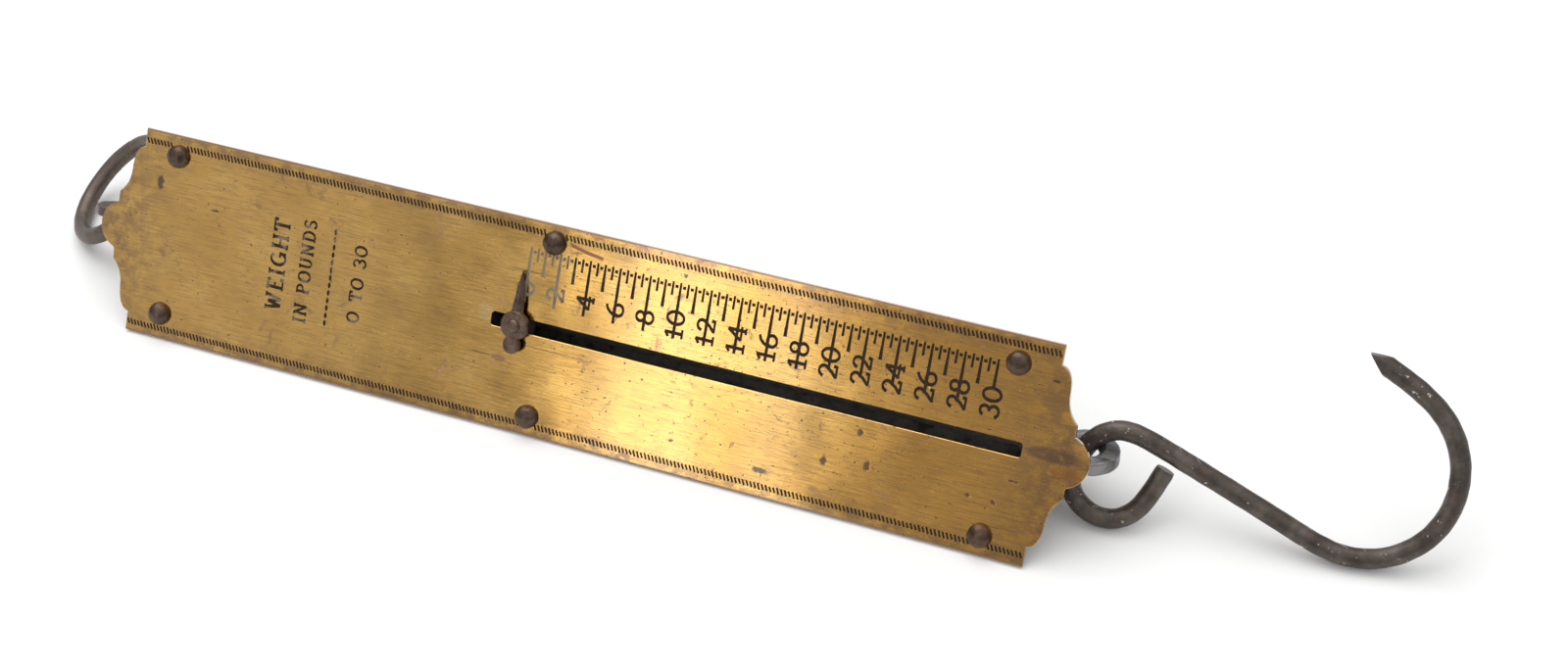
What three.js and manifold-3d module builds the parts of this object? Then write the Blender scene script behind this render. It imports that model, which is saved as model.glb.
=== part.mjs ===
// Hanging spring scale: brass face plate, half-round iron casing, extension spring,
// draw rod with pointer, suspension ring and S hook. Millimetres, +Z up.
//
// Every piece is placed in the plate's own frame: x runs along the plate towards the hook,
// y across it, and z is square to its front face, which is z = 0. The whole scale is then
// rolled about x, because it lies on the long edge of its plate and on its round back.
import * as THREE from 'three';
import { mergeVertices } from 'three/addons/utils/BufferGeometryUtils.js';
import Module from 'manifold-3d';

const wasm = await Module();
wasm.setup();

// Driving dimensions
const GAP = 0.3;
const PLATE = { length: 261, width: 57.15, thick: 1.3 };
const MID_Y = PLATE.width / 2;
const AXIS_Z = -16;
const ROLL = THREE.MathUtils.degToRad(56.88);
// The round lobe in the middle of each end of the plate: how far out its centre is, and its arc
const LOBE = { out: 4.55, radius: 6.85, half: THREE.MathUtils.degToRad(72), steps: 12 };

const SLOT = { from: 109.8, to: 255.2, width: 3.8, y: 28.75 };
const ZERO_X = 117.6;
const RIVET = { head: 3.2, dome: 2.5, shank: 1.5, tail: 2.6, button: 1.2 };
const RIVETS = [[10.8, 51.3], [124.6, 52.2], [250.4, 50.1], [10.4, 6.8], [123.9, 5], [249, 5.1]];

const CASING = { from: 2.5, to: 258.5, radius: 15.9, sheet: 0.9, flange: 2.2 };
const FLANGE_TOP = -PLATE.thick - GAP;
const FLANGE_LOW = FLANGE_TOP - CASING.sheet;

const END_PLATE = { thick: 2.2, inset: 0.8, radius: CASING.radius - CASING.sheet - GAP, play: 0.4 };
const EAR = { length: 8, half: 4, thick: 1.6, sunk: 0.6, overlap: 0.1 };
const UPPER_END_X = CASING.from + END_PLATE.inset;
const LOWER_END_X = CASING.to - END_PLATE.inset - END_PLATE.thick;
const END_RIVET_X = [UPPER_END_X + END_PLATE.thick + EAR.length / 2, LOWER_END_X - EAR.length / 2];
const SIDE_RIVET = { shank: 1.1, head: 2, rise: 0.9, tail: 1.8, button: 0.8 };

const ROD = { radius: 3.1, from: 90.5 };
// Eyes: half length and half width of the outline, which is shifted from the centre of the hole
const DRAW_EYE = { x: 267.6, long: 8.4, wide: 8, shift: [0.9, -0.4], thick: 3.9, turn: -70 };
const DRAW_HOLE = { throat: 3.6, mouth: 4.9 };
const ROD_NECK = { from: -9.5, to: -5.2, radius: 2 };
const ANCHOR_EYE = { x: -14, hole: 4.4, long: 8.2, wide: 7.5, shift: -0.6, thick: 3, to: 26.5 };
const ANCHOR_NECK = { narrow: 2.2, broad: 4.2, from: 9.2 };
const WASHER = { x: 5.8, radius: 7, thick: 1.2 };
const NUT = { x: 7.3, radius: 6, thick: 4.6 };
const SPRING = { wire: 2.6, radius: 11.5, pitch: 2.9, from: 16, to: 104, stepsPerTurn: 8 };
const PLUG = { radius: 9, length: 12, upper: 14, lower: 94 };
const PIN = { radius: 1.2, half: 8.5 };
const BUSH = { bore: 3.5, barrel: 5.1, flange: 7.5, from: 254.2, face: 258, to: 259.6, seat: 5.5 };

const STUD = { radius: 1.55, head: 2.4, crown: 2, shoulder: 0.8, rise: 1.2, tail: 1 };
const SLIDER = { half: 3.6, wide: 5, thick: 1.5 };
const POINTER = { disc: 4, arm: 1.6, tip: 0.4, reach: 14.8, thick: 2, lift: 1, boss: 3 };
const POINTER_TAIL = { x: -0.2, y: -5.4, radius: 2.5 };

const RING = { radius: 16.33, wire: 5, at: [-24.93, 31.96, -27.78], normal: [-0.5297, 0.5255, 0.6659] };
const HOOK = {
  wire: 5.4,
  at: [268, 28.6, -16],
  along: [0.992, 0.0692, -0.106],
  normal: [0.1028, 0.0484, 0.9935],
  steps: 76,
};
// Centre line of the S hook in its own plane, from the blunt end to the point
const HOOK_LINE = [
  [20.2, -1.6], [17, -9.2], [14.1, -13.6], [10, -16.2], [5.2, -16.3], [1, -14.4], [-2, -11.2], [-3, -7.4],
  [-2.4, -3.6], [-0.8, 0], [1.4, 3.4], [4.6, 5.9], [8.6, 6.9], [13.2, 6], [18.6, 3.8], [29.2, -0.9],
  [39.6, -5.5], [50, -10.1], [57.8, -13.9], [64.5, -16.2], [71.3, -16.3], [77.3, -14.6], [82.7, -11.2],
  [86.8, -6.5], [89.5, -0.6], [90.5, 5.8], [89.6, 12.4], [86.8, 18.8], [82.2, 24], [76, 28.3], [69.2, 32],
  [63.5, 34.9],
];
// Its point, and where the two flats filed on the wire start
const HOOK_POINT = { tip: [65, 34.4], outer: [70.1, 34.2], inner: [68.2, 29.8] };

const MATERIALS = {
  brass: new THREE.MeshStandardMaterial({ color: 0xc29a45, roughness: 0.35, metalness: 1 }),
  oldBrass: new THREE.MeshStandardMaterial({ color: 0x8f6f35, roughness: 0.5, metalness: 1 }),
  iron: new THREE.MeshStandardMaterial({ color: 0x4a4440, roughness: 0.6, metalness: 0.8 }),
  darkIron: new THREE.MeshStandardMaterial({ color: 0x4b3a2c, roughness: 0.55, metalness: 0.8 }),
  steel: new THREE.MeshStandardMaterial({ color: 0x77726c, roughness: 0.45, metalness: 1 }),
  sheet: new THREE.MeshStandardMaterial({ color: 0x35312e, roughness: 0.6, metalness: 0.7 }),
};

// Solids
function toSolid(geometry) {
  const bare = geometry.clone();
  bare.deleteAttribute('normal');
  bare.deleteAttribute('uv');
  const merged = mergeVertices(bare, 1e-4);
  return new wasm.Manifold(new wasm.Mesh({
    numProp: 3,
    vertProperties: new Float32Array(merged.attributes.position.array),
    triVerts: new Uint32Array(merged.index.array),
  }));
}

function toGeometry(solid) {
  const mesh = solid.getMesh();
  const geometry = new THREE.BufferGeometry();
  geometry.setAttribute('position', new THREE.BufferAttribute(new Float32Array(mesh.vertProperties), 3));
  geometry.setIndex(new THREE.BufferAttribute(new Uint32Array(mesh.triVerts), 1));
  geometry.computeVertexNormals();
  return geometry;
}

function join(first, ...others) {
  return toGeometry(others.reduce((sum, next) => sum.add(toSolid(next)), toSolid(first)));
}

function cut(base, ...tools) {
  return toGeometry(tools.reduce((rest, tool) => rest.subtract(toSolid(tool)), toSolid(base)));
}

function extrude(shape, depth, curveSegments = 8) {
  return new THREE.ExtrudeGeometry(shape, { depth, bevelEnabled: false, curveSegments });
}

function circle(radius, x = 0, y = 0) {
  const shape = new THREE.Shape();
  shape.absarc(x, y, radius, 0, 2 * Math.PI, false);
  return shape;
}

function ellipse(long, wide, x, y) {
  const shape = new THREE.Shape();
  shape.absellipse(x, y, long, wide, 0, 2 * Math.PI, false);
  return shape;
}

function rectangle(fromX, toX, fromY, toY, Kind = THREE.Shape) {
  const shape = new Kind();
  shape.moveTo(fromX, fromY);
  shape.lineTo(toX, fromY);
  shape.lineTo(toX, toY);
  shape.lineTo(fromX, toY);
  return shape;
}

// A solid of revolution about z from [radius, z] pairs, which run upwards on the outside
function lathe(profile, segments = 16) {
  const points = profile.map(([r, z]) => new THREE.Vector2(r, z));
  return new THREE.LatheGeometry(points, segments).rotateX(Math.PI / 2);
}

// The same about x
function latheX(profile, segments = 16) {
  return lathe(profile, segments).rotateY(Math.PI / 2);
}

function tube(bore, radius, from, to, segments = 20) {
  return latheX([[bore, from], [radius, from], [radius, to], [bore, to], [bore, from]], segments);
}

// A pin along y, half its length to each side of y = 0
function pinAlongY(radius, x, half, segments = 10) {
  return new THREE.CylinderGeometry(radius, radius, 2 * half, segments).translate(x, 0, 0);
}

const group = new THREE.Group();
const scale = new THREE.Group();
scale.rotation.x = ROLL;
group.add(scale);

function add(name, geometry, material) {
  const mesh = new THREE.Mesh(geometry, material);
  mesh.name = name;
  scale.add(mesh);
}

// Places a shape made about x through the origin on the draw axis
function onAxis(geometry, x = 0) {
  return geometry.translate(x, MID_Y, AXIS_Z);
}

// Face plate: shoulder, ogee, a short step and the central lobe at each end
function endOutline(shape, place) {
  const { width } = PLATE;
  const go = (d, v) => shape.lineTo(...place(d, v));
  const bend = (...points) => shape.bezierCurveTo(...points.flatMap(([d, v]) => place(d, v)));
  go(0, 0);
  go(0, 5.2);
  bend([1.9, 5.3], [3.2, 7.6], [3.3, 11]);
  bend([3.4, 14.5], [3.9, 16.6], [6.5, 19]);
  for (let i = 0; i <= LOBE.steps; i += 1) {
    const angle = (2 * i / LOBE.steps - 1) * LOBE.half;
    go(LOBE.out + LOBE.radius * Math.cos(angle), MID_Y + LOBE.radius * Math.sin(angle));
  }
  go(6.5, width - 19);
  bend([3.9, width - 16.6], [3.4, width - 14.5], [3.3, width - 11]);
  bend([3.2, width - 7.6], [1.9, width - 5.3], [0, width - 5.2]);
  go(0, width);
}

function facePlate() {
  const { length, width, thick } = PLATE;
  const shape = new THREE.Shape();
  shape.moveTo(length, 0);
  endOutline(shape, (d, v) => [length + d, v]);
  endOutline(shape, (d, v) => [-d, width - v]);
  const half = SLOT.width / 2;
  const slot = rectangle(SLOT.from, SLOT.to, SLOT.y - half, SLOT.y + half, THREE.Path);
  shape.holes.push(slot, ...RIVETS.map(([x, y]) => circle(RIVET.shank + GAP, x, y)));
  return extrude(shape, thick, 5).translate(0, 0, -thick);
}

// Casing: one bent sheet, a half-round trough with a flange along each side
function casing() {
  const { radius, sheet, flange, from, to } = CASING;
  const inner = radius - sheet;
  const shape = new THREE.Shape();
  // x of the shape is across the plate, y of the shape is its depth
  shape.moveTo(flange, FLANGE_LOW);
  shape.lineTo(MID_Y - radius, FLANGE_LOW);
  shape.absarc(MID_Y, AXIS_Z, radius, Math.PI, 2 * Math.PI, false);
  shape.lineTo(MID_Y + radius, FLANGE_LOW);
  shape.lineTo(PLATE.width - flange, FLANGE_LOW);
  shape.lineTo(PLATE.width - flange, FLANGE_TOP);
  shape.lineTo(MID_Y + inner, FLANGE_TOP);
  shape.absarc(MID_Y, AXIS_Z, inner, 0, -Math.PI, true);
  shape.lineTo(MID_Y - inner, FLANGE_TOP);
  shape.lineTo(flange, FLANGE_TOP);
  const trough = extrude(shape, to - from, 14);
  // Stand the section up in the y-z plane, so that it runs along x
  trough.applyMatrix4(new THREE.Matrix4().makeBasis(
    new THREE.Vector3(0, 1, 0), new THREE.Vector3(0, 0, 1), new THREE.Vector3(1, 0, 0)));
  trough.translate(from, 0, 0);
  const holes = RIVETS.map(([x, y]) =>
    extrude(circle(RIVET.shank + GAP), 2 * sheet).translate(x, y, FLANGE_LOW - sheet / 2));
  const sideHoles = END_RIVET_X.map((x) => onAxis(pinAlongY(SIDE_RIVET.shank + GAP, x, radius + 1)));
  return cut(trough, ...holes, ...sideHoles);
}

function plateRivet() {
  const { head, dome, shank, tail, button } = RIVET;
  const under = FLANGE_LOW - GAP;
  const profile = [[0, under - button], [tail * 0.7, under - 0.8 * button], [tail, under]];
  profile.push([shank, under], [shank, GAP], [head, GAP]);
  const steps = 4;
  for (let i = 1; i < steps; i += 1) {
    const angle = (i / steps) * (Math.PI / 2);
    profile.push([head * Math.cos(angle), GAP + dome * Math.sin(angle)]);
  }
  profile.push([0, GAP + dome]);
  return lathe(profile, 14);
}

// End plates: a D-shaped plate with an ear folded along each side wall, inwards being +1 or -1
function endPlate(bore, x, inwards) {
  const { thick, radius, play } = END_PLATE;
  const flat = AXIS_Z - FLANGE_TOP + play;
  const shape = new THREE.Shape();
  shape.moveTo(radius, flat);
  shape.absarc(0, 0, radius, 0, Math.PI, false);
  shape.lineTo(-radius, flat);
  shape.holes.push(circle(bore));
  // The flat side of the D looks towards the face plate
  const sheet = extrude(shape, thick, 12).applyMatrix4(new THREE.Matrix4().makeBasis(
    new THREE.Vector3(0, -1, 0), new THREE.Vector3(0, 0, -1), new THREE.Vector3(1, 0, 0)));
  const long = EAR.length + EAR.overlap;
  const middle = inwards > 0 ? thick + (EAR.length - EAR.overlap) / 2 : (EAR.overlap - EAR.length) / 2;
  const ears = [-1, 1].map((side) => new THREE.BoxGeometry(long, EAR.thick, 2 * EAR.half)
    .translate(middle, side * (radius - EAR.sunk - EAR.thick / 2), 0));
  const rivetX = inwards > 0 ? thick + EAR.length / 2 : -EAR.length / 2;
  return onAxis(cut(join(sheet, ...ears), pinAlongY(SIDE_RIVET.shank + GAP, rivetX, 2 * radius)), x);
}

function sideRivet(x, side) {
  const { shank, head, rise, tail, button } = SIDE_RIVET;
  const wall = CASING.radius + GAP;
  const inside = END_PLATE.radius - EAR.sunk - EAR.thick - GAP;
  const profile = [[0, inside - button], [tail, inside - button], [tail, inside], [shank, inside]];
  profile.push([shank, wall], [head, wall], [head * 0.75, wall + rise * 0.7], [0, wall + rise]);
  const body = lathe(profile, 10).rotateX(side > 0 ? -Math.PI / 2 : Math.PI / 2);
  return onAxis(body, x);
}

// Anchor: a flat eye on a round shank, with its washer, nut and spring plug
function anchor() {
  const { x, hole, long, wide, shift, thick, to } = ANCHOR_EYE;
  const { narrow, broad, from } = ANCHOR_NECK;
  const collar = UPPER_END_X - GAP - x;
  const outline = ellipse(long, wide, shift, 0);
  const disc = extrude(outline, thick, 12).translate(0, 0, -thick / 2).rotateX(Math.PI / 2);
  const bore = extrude(circle(hole), 3 * thick, 12).translate(0, 0, -1.5 * thick).rotateX(Math.PI / 2);
  const neck = latheX([[0, hole + 0.4], [narrow, hole + 0.4], [broad, from], [broad, collar],
    [ROD.radius, collar], [ROD.radius, to - x], [0, to - x]], 16);
  const pin = pinAlongY(PIN.radius + GAP, PLUG.upper + PLUG.length / 2 - x, PLUG.radius);
  return onAxis(cut(join(disc, neck), bore, pin), x);
}

function springPlug(x) {
  const bored = tube(ROD.radius + GAP, PLUG.radius, 0, PLUG.length);
  return onAxis(cut(bored, pinAlongY(PIN.radius + GAP, PLUG.length / 2, 2 * PLUG.radius)), x);
}

function crossPin(x) {
  return onAxis(pinAlongY(PIN.radius, x + PLUG.length / 2, PIN.half));
}

function anchorWasher() {
  return onAxis(tube(ROD.radius + GAP, WASHER.radius, 0, WASHER.thick), WASHER.x);
}

function anchorNut() {
  const hexagon = new THREE.Shape();
  for (let i = 0; i < 6; i += 1) {
    const angle = (i * Math.PI) / 3;
    hexagon[i ? 'lineTo' : 'moveTo'](NUT.radius * Math.cos(angle), NUT.radius * Math.sin(angle));
  }
  hexagon.holes.push(circle(ROD.radius + GAP));
  return onAxis(extrude(hexagon, NUT.thick).rotateY(Math.PI / 2), NUT.x);
}

// Flanged bush that guides the draw rod
function guideBush() {
  const { bore, barrel, flange, from, face, to } = BUSH;
  const profile = [[bore, from], [barrel, from], [barrel, face], [flange, face], [flange, to]];
  profile.push([bore, to], [bore, from]);
  return onAxis(latheX(profile, 20));
}

class Coil extends THREE.Curve {
  constructor(turns) {
    super();
    this.turns = turns;
  }

  getPoint(t, target = new THREE.Vector3()) {
    const { from, to, radius } = SPRING;
    const angle = t * this.turns * 2 * Math.PI;
    return target.set(from + t * (to - from), radius * Math.cos(angle), radius * Math.sin(angle));
  }
}

function spring() {
  const { wire, pitch, from, to, stepsPerTurn } = SPRING;
  const turns = (to - from) / pitch;
  return onAxis(new THREE.ExtrudeGeometry(circle(wire / 2), {
    steps: Math.round(turns * stepsPerTurn),
    extrudePath: new Coil(turns),
    bevelEnabled: false,
    curveSegments: 3,
  }));
}

// Draw rod: a round rod forged out to a flat eye
function drawRod() {
  const { x, long, wide, shift, thick, turn } = DRAW_EYE;
  const { throat, mouth } = DRAW_HOLE;
  const flat = THREE.MathUtils.degToRad(turn);
  const eye = extrude(ellipse(long, wide, ...shift), thick, 12).translate(0, 0, -thick / 2).rotateX(flat);
  // The hole widens towards both faces; the tool for it is twice as long as the eye is thick
  const flare = 2 * mouth - throat;
  const widening = [[0, -thick], [flare, -thick], [throat, 0], [flare, thick], [0, thick]];
  const bore = lathe(widening, 24).rotateX(flat);
  const shank = latheX([[0, ROD.from - x], [ROD.radius, ROD.from - x], [ROD.radius, ROD_NECK.from],
    [ROD_NECK.radius, ROD_NECK.to], [0, ROD_NECK.to]], 18);
  const pin = pinAlongY(PIN.radius + GAP, PLUG.lower + PLUG.length / 2 - x, PLUG.radius);
  const stud = new THREE.CylinderGeometry(STUD.radius + GAP, STUD.radius + GAP, 20, 12)
    .rotateX(Math.PI / 2).translate(ZERO_X - x, SLOT.y - MID_Y, 0);
  return onAxis(cut(join(shank, eye), bore, pin, stud), x);
}

// Pointer: disc, tail lobe and tapered arm, held off the plate by a boss
function pointer() {
  const { disc, arm, tip, reach, thick, lift, boss } = POINTER;
  const tail = POINTER_TAIL;
  const spread = Math.asin(arm / disc);
  const shoulder = disc * Math.cos(spread);
  const shape = new THREE.Shape();
  shape.moveTo(arm, shoulder);
  shape.lineTo(tip, reach);
  shape.lineTo(-tip, reach);
  shape.lineTo(-arm, shoulder);
  shape.absarc(0, 0, disc, Math.PI / 2 + spread, Math.PI * 1.5 - 0.55, false);
  shape.absarc(tail.x, tail.y, tail.radius, Math.PI * 0.78, Math.PI * 2.22, false);
  shape.absarc(0, 0, disc, Math.PI * 1.5 + 0.25, Math.PI * 2.5 - spread, false);
  const collar = lathe([[0, GAP], [boss, GAP], [boss, lift + GAP], [0, lift + GAP]], 20);
  const bore = extrude(circle(STUD.radius + GAP), 3 * thick);
  return cut(join(extrude(shape, thick).translate(0, 0, lift), collar), bore).translate(ZERO_X, SLOT.y, 0);
}

function pointerStud() {
  const { radius, head, crown, shoulder, rise, tail } = STUD;
  const below = AXIS_Z - ROD.radius - GAP;
  const above = POINTER.lift + POINTER.thick + GAP;
  return lathe([[0, below - tail], [head, below - tail], [head, below], [radius, below], [radius, above],
    [head, above], [crown, above + shoulder], [0, above + rise]], 12).translate(ZERO_X, SLOT.y, 0);
}

function sliderWasher() {
  const { half, wide, thick } = SLIDER;
  const shape = rectangle(-half, half, -wide, wide);
  shape.holes.push(circle(STUD.radius + GAP));
  return extrude(shape, thick).translate(ZERO_X, SLOT.y, FLANGE_TOP - thick);
}

function suspensionRing() {
  const torus = new THREE.TorusGeometry(RING.radius, RING.wire / 2, 10, 40);
  const turn = new THREE.Quaternion().setFromUnitVectors(
    new THREE.Vector3(0, 0, 1), new THREE.Vector3(...RING.normal).normalize());
  return torus.applyQuaternion(turn).translate(...RING.at);
}

// S hook: round wire bent in one plane, filed to a point with two flats
function hookPlane() {
  const normal = new THREE.Vector3(...HOOK.normal).normalize();
  const along = new THREE.Vector3(...HOOK.along).normalize();
  const up = new THREE.Vector3().crossVectors(normal, along).normalize();
  along.crossVectors(up, normal);
  return new THREE.Matrix4().makeBasis(along, up, normal).setPosition(...HOOK.at);
}

// A block that cuts a flat through two points, with the block on its left
function flatCutter(from, to) {
  const block = new THREE.BoxGeometry(30, 10, 20).translate(0, 5, 0);
  return block.rotateZ(Math.atan2(to[1] - from[1], to[0] - from[0])).translate(from[0], from[1], 0);
}

function sHook() {
  const line = new THREE.CatmullRomCurve3(HOOK_LINE.map(([u, v]) => new THREE.Vector3(u, v, 0)));
  const wire = new THREE.ExtrudeGeometry(circle(HOOK.wire / 2), {
    steps: HOOK.steps, extrudePath: line, bevelEnabled: false, curveSegments: 4,
  });
  const { tip, outer, inner } = HOOK_POINT;
  return cut(wire, flatCutter(tip, outer), flatCutter(inner, tip)).applyMatrix4(hookPlane());
}

// Assembly
add('face_plate', facePlate(), MATERIALS.brass);
add('back_casing', casing(), MATERIALS.sheet);
RIVETS.forEach(([x, y], i) => {
  add(`plate_rivet_${i + 1}`, plateRivet().translate(x, y, 0), MATERIALS.darkIron);
});
add('upper_end_plate', endPlate(ROD.radius + GAP, UPPER_END_X, 1), MATERIALS.sheet);
add('lower_end_plate', endPlate(BUSH.seat, LOWER_END_X, -1), MATERIALS.sheet);
END_RIVET_X.forEach((x, i) => {
  const end = i ? 'lower' : 'upper';
  add(`${end}_end_rivet_left`, sideRivet(x, -1), MATERIALS.darkIron);
  add(`${end}_end_rivet_right`, sideRivet(x, 1), MATERIALS.darkIron);
});
add('anchor_eye', anchor(), MATERIALS.iron);
add('anchor_washer', anchorWasher(), MATERIALS.steel);
add('anchor_nut', anchorNut(), MATERIALS.steel);
add('upper_spring_plug', springPlug(PLUG.upper), MATERIALS.iron);
add('upper_plug_pin', crossPin(PLUG.upper), MATERIALS.steel);
add('suspension_ring', suspensionRing(), MATERIALS.iron);
add('spring', spring(), MATERIALS.steel);
add('lower_spring_plug', springPlug(PLUG.lower), MATERIALS.iron);
add('lower_plug_pin', crossPin(PLUG.lower), MATERIALS.steel);
add('guide_bush', guideBush(), MATERIALS.oldBrass);
add('draw_rod', drawRod(), MATERIALS.iron);
add('pointer', pointer(), MATERIALS.darkIron);
add('pointer_stud', pointerStud(), MATERIALS.darkIron);
add('slider_washer', sliderWasher(), MATERIALS.steel);
add('s_hook', sHook(), MATERIALS.iron);

// The origin is under the middle of the scale, on the surface that it lies on
const box = new THREE.Box3().setFromObject(group, true);
const middle = box.getCenter(new THREE.Vector3());
scale.position.set(-middle.x, -middle.y, -box.min.z);

export default group;
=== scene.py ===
"""Hanging spring scale: the looks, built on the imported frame.

Every piece is modelled in the plate's own frame, in millimetres: x runs along the face plate
towards the hook, y across it, and z is square to its front face, which is z = 0. PLATE_TO_ROW
takes that to the row frame, in metres.
"""
import math
import random

import bmesh
import bpy
from mathutils import Matrix, Vector, noise
from mathutils.geometry import delaunay_2d_cdt


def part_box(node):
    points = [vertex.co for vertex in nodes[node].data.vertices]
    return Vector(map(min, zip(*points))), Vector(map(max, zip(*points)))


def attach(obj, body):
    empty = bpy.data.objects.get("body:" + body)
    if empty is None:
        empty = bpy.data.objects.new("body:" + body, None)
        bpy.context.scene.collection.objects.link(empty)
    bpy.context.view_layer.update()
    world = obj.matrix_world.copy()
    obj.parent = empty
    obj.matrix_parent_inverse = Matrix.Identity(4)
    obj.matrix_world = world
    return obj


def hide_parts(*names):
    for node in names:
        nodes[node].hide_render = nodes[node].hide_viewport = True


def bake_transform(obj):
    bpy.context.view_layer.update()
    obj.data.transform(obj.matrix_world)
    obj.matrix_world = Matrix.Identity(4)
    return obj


# Vector noise is seeded from the clock until it is given a seed
SEED = 7
noise.seed_set(SEED)

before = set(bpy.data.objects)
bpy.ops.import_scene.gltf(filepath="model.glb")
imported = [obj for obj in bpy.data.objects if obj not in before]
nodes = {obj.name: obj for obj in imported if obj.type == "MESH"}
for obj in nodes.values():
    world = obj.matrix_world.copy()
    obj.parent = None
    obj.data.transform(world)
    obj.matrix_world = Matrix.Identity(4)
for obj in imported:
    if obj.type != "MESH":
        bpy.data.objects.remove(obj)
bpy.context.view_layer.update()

# Driving dimensions
PLATE = {"length": 261, "width": 57.15, "thick": 1.3, "round": 0.25}
MID_Y = PLATE["width"] / 2
AXIS_Z = -16
ROLL = math.radians(56.88)
LOBE = {"out": 4.55, "radius": 6.85, "half": math.radians(72)}
SLOT = {"from": 109.8, "to": 255.2, "width": 3.8, "y": 28.75, "corner": 0.7}

RIVETS = [(10.8, 51.3), (124.6, 52.2), (250.4, 50.1), (10.4, 6.8), (123.9, 5), (249, 5.1)]
RIVET = {"shank": 1.5, "head": 3.2, "rise": 2.8, "tail": 2.58, "button": 1.2}
CASING = {
    "from": 2.5, "to": 258.5, "radius": 15.9, "sheet": 0.9, "flange": 2.2, "flange_z": -2.05, "bend": 1.9,
}
SIDE_RIVET = {"x": (9.5, 251.5), "head": 2, "rise": 1.1, "shank": 1.1, "inside": 12.2}

ZERO_X = 118.39
POUND = 4.2345
POUNDS = 30
TICK_TOP = 49.7
# Rolled border: strokes to the inch, how far each leans either way, and for the two rows the height of
# the row at each end of the plate and the length of its strokes
BORDER = {"per_inch": 24, "first": 0.75, "lean": 0.33, "rows": ((53.95, 54.7, 1.5), (2.6, 2.9, 1.4))}
# Lower ends of the ticks at half pounds, odd pounds and even pounds, of those at 20 and over, and at 30
TICKS = {"half": 46.3, "odd": 42.7, "even": 35.2, "over_20": 37, "last": 42.8, "dots": (48.95, 48.35)}
# Depth of a mark, and how far its sides slope out over that depth
STAMP = {"depth": 0.2, "slope": 0.11}
ROLLED = {"depth": 0.15, "slope": 0.05}
DIGIT = {"height": 5.2, "thick": 0.7, "thin": 0.42, "y": 38.8}
# Damage placed on the face as soft ellipses: centre and half sizes
DINGS = [
    ((6, 43.2), (1.0, 2.0)), ((23.9, 39), (1.3, 0.5)), ((189.8, 7), (2.2, 0.7)), ((206, 13.7), (0.8, 1.3)),
    ((217.4, 15.2), (0.9, 1.6)), ((214.3, 23.2), (0.8, 1.0)), ((244, 14.5), (0.8, 0.6)),
    ((250.6, 14.2), (0.6, 0.6)), ((254.8, 20.6), (1.5, 0.4)), ((260.4, 47.8), (1.1, 0.5)),
    ((161.6, 52), (0.5, 0.5)),
]
SCRAPES = [((120, 43.4), (6.5, 0.16)), ((129, 23.7), (9.5, 0.14)), ((108.5, 18.9), (3.6, 0.16))]

POINTER_X = 117.6
DISC = {"radius": 4, "low": 1, "top": 3, "boss": 2.9}
TAIL = {"x": -0.2, "y": -5.3, "radius": 2.5}
# Arm: distance from the disc's centre, half width, underside and crest
ARM = [(2.4, 1.7, 1, 2.75), (5.2, 1.6, 1, 2.7), (10.4, 1.0, 0.9, 2.3), (14.8, 0.3, 0.9, 1.5)]
STUD = {"radius": 1.55, "dome": 1.7, "top": 4.05}

ROD = {"radius": 3.1, "from": 90.5}
# Eyes: half length and half width of the outline, its shift from the centre of the hole, and the hole's
# radius half way through and at both faces
DRAW_EYE = {
    "x": 267.6, "outer": (8.4, 8), "shift": (0.9, -0.4), "hole": (3.6, 4.9), "thick": 3.9, "turn": -70,
}
ANCHOR_EYE = {
    "x": -14, "outer": (8.2, 7.5), "shift": (-0.6, 0), "hole": (4.4, 4.8), "thick": 3, "turn": 90,
}
ANCHOR = {"collar": 3.1, "to": 26.5}
SPRING = {"wire": 2.6, "radius": 11.5, "pitch": 2.9, "from": 16, "to": 104, "loose": (26, 94)}
RING = {"radius": 16.33, "wire": 5, "at": (-24.93, 31.96, -27.78), "normal": (-0.5297, 0.5255, 0.6659)}
HOOK = {
    "wire": 5.4, "skin": 0.07, "at": (268, 28.6, -16),
    "along": (0.992, 0.0692, -0.106), "normal": (0.1028, 0.0484, 0.9935),
}
# Centre line of the S hook in its own plane, from the blunt end to the point
HOOK_LINE = [
    (20.2, -1.6), (17, -9.2), (14.1, -13.6), (10, -16.2), (5.2, -16.3), (1, -14.4), (-2, -11.2), (-3, -7.4),
    (-2.4, -3.6), (-0.8, 0), (1.4, 3.4), (4.6, 5.9), (8.6, 6.9), (13.2, 6), (18.6, 3.8), (29.2, -0.9),
    (39.6, -5.5), (50, -10.1), (57.8, -13.9), (64.5, -16.2), (71.3, -16.3), (77.3, -14.6), (82.7, -11.2),
    (86.8, -6.5), (89.5, -0.6), (90.5, 5.8), (89.6, 12.4), (86.8, 18.8), (82.2, 24), (76, 28.3), (69.2, 32),
    (63.5, 34.9),
]
HOOK_TIP = (65, 34.4)
HOOK_FLATS = [(70.1, 34.2), (68.2, 29.8)]
CAMERA = {"at": (0.20688, -0.40425, 0.45224), "turn": (46.279, 2.370, 21.609), "lens": 54.88, "sensor": 36}

plate_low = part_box("face_plate")[0]
PLATE_ORIGIN = Vector((
    plate_low.x + (LOBE["out"] + LOBE["radius"]) / 1000,
    plate_low.y,
    plate_low.z + PLATE["thick"] / 1000 * math.cos(ROLL),
))
PLATE_TO_ROW = Matrix.Translation(PLATE_ORIGIN) @ Matrix.Rotation(ROLL, 4, "X") @ Matrix.Scale(0.001, 4)


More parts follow.
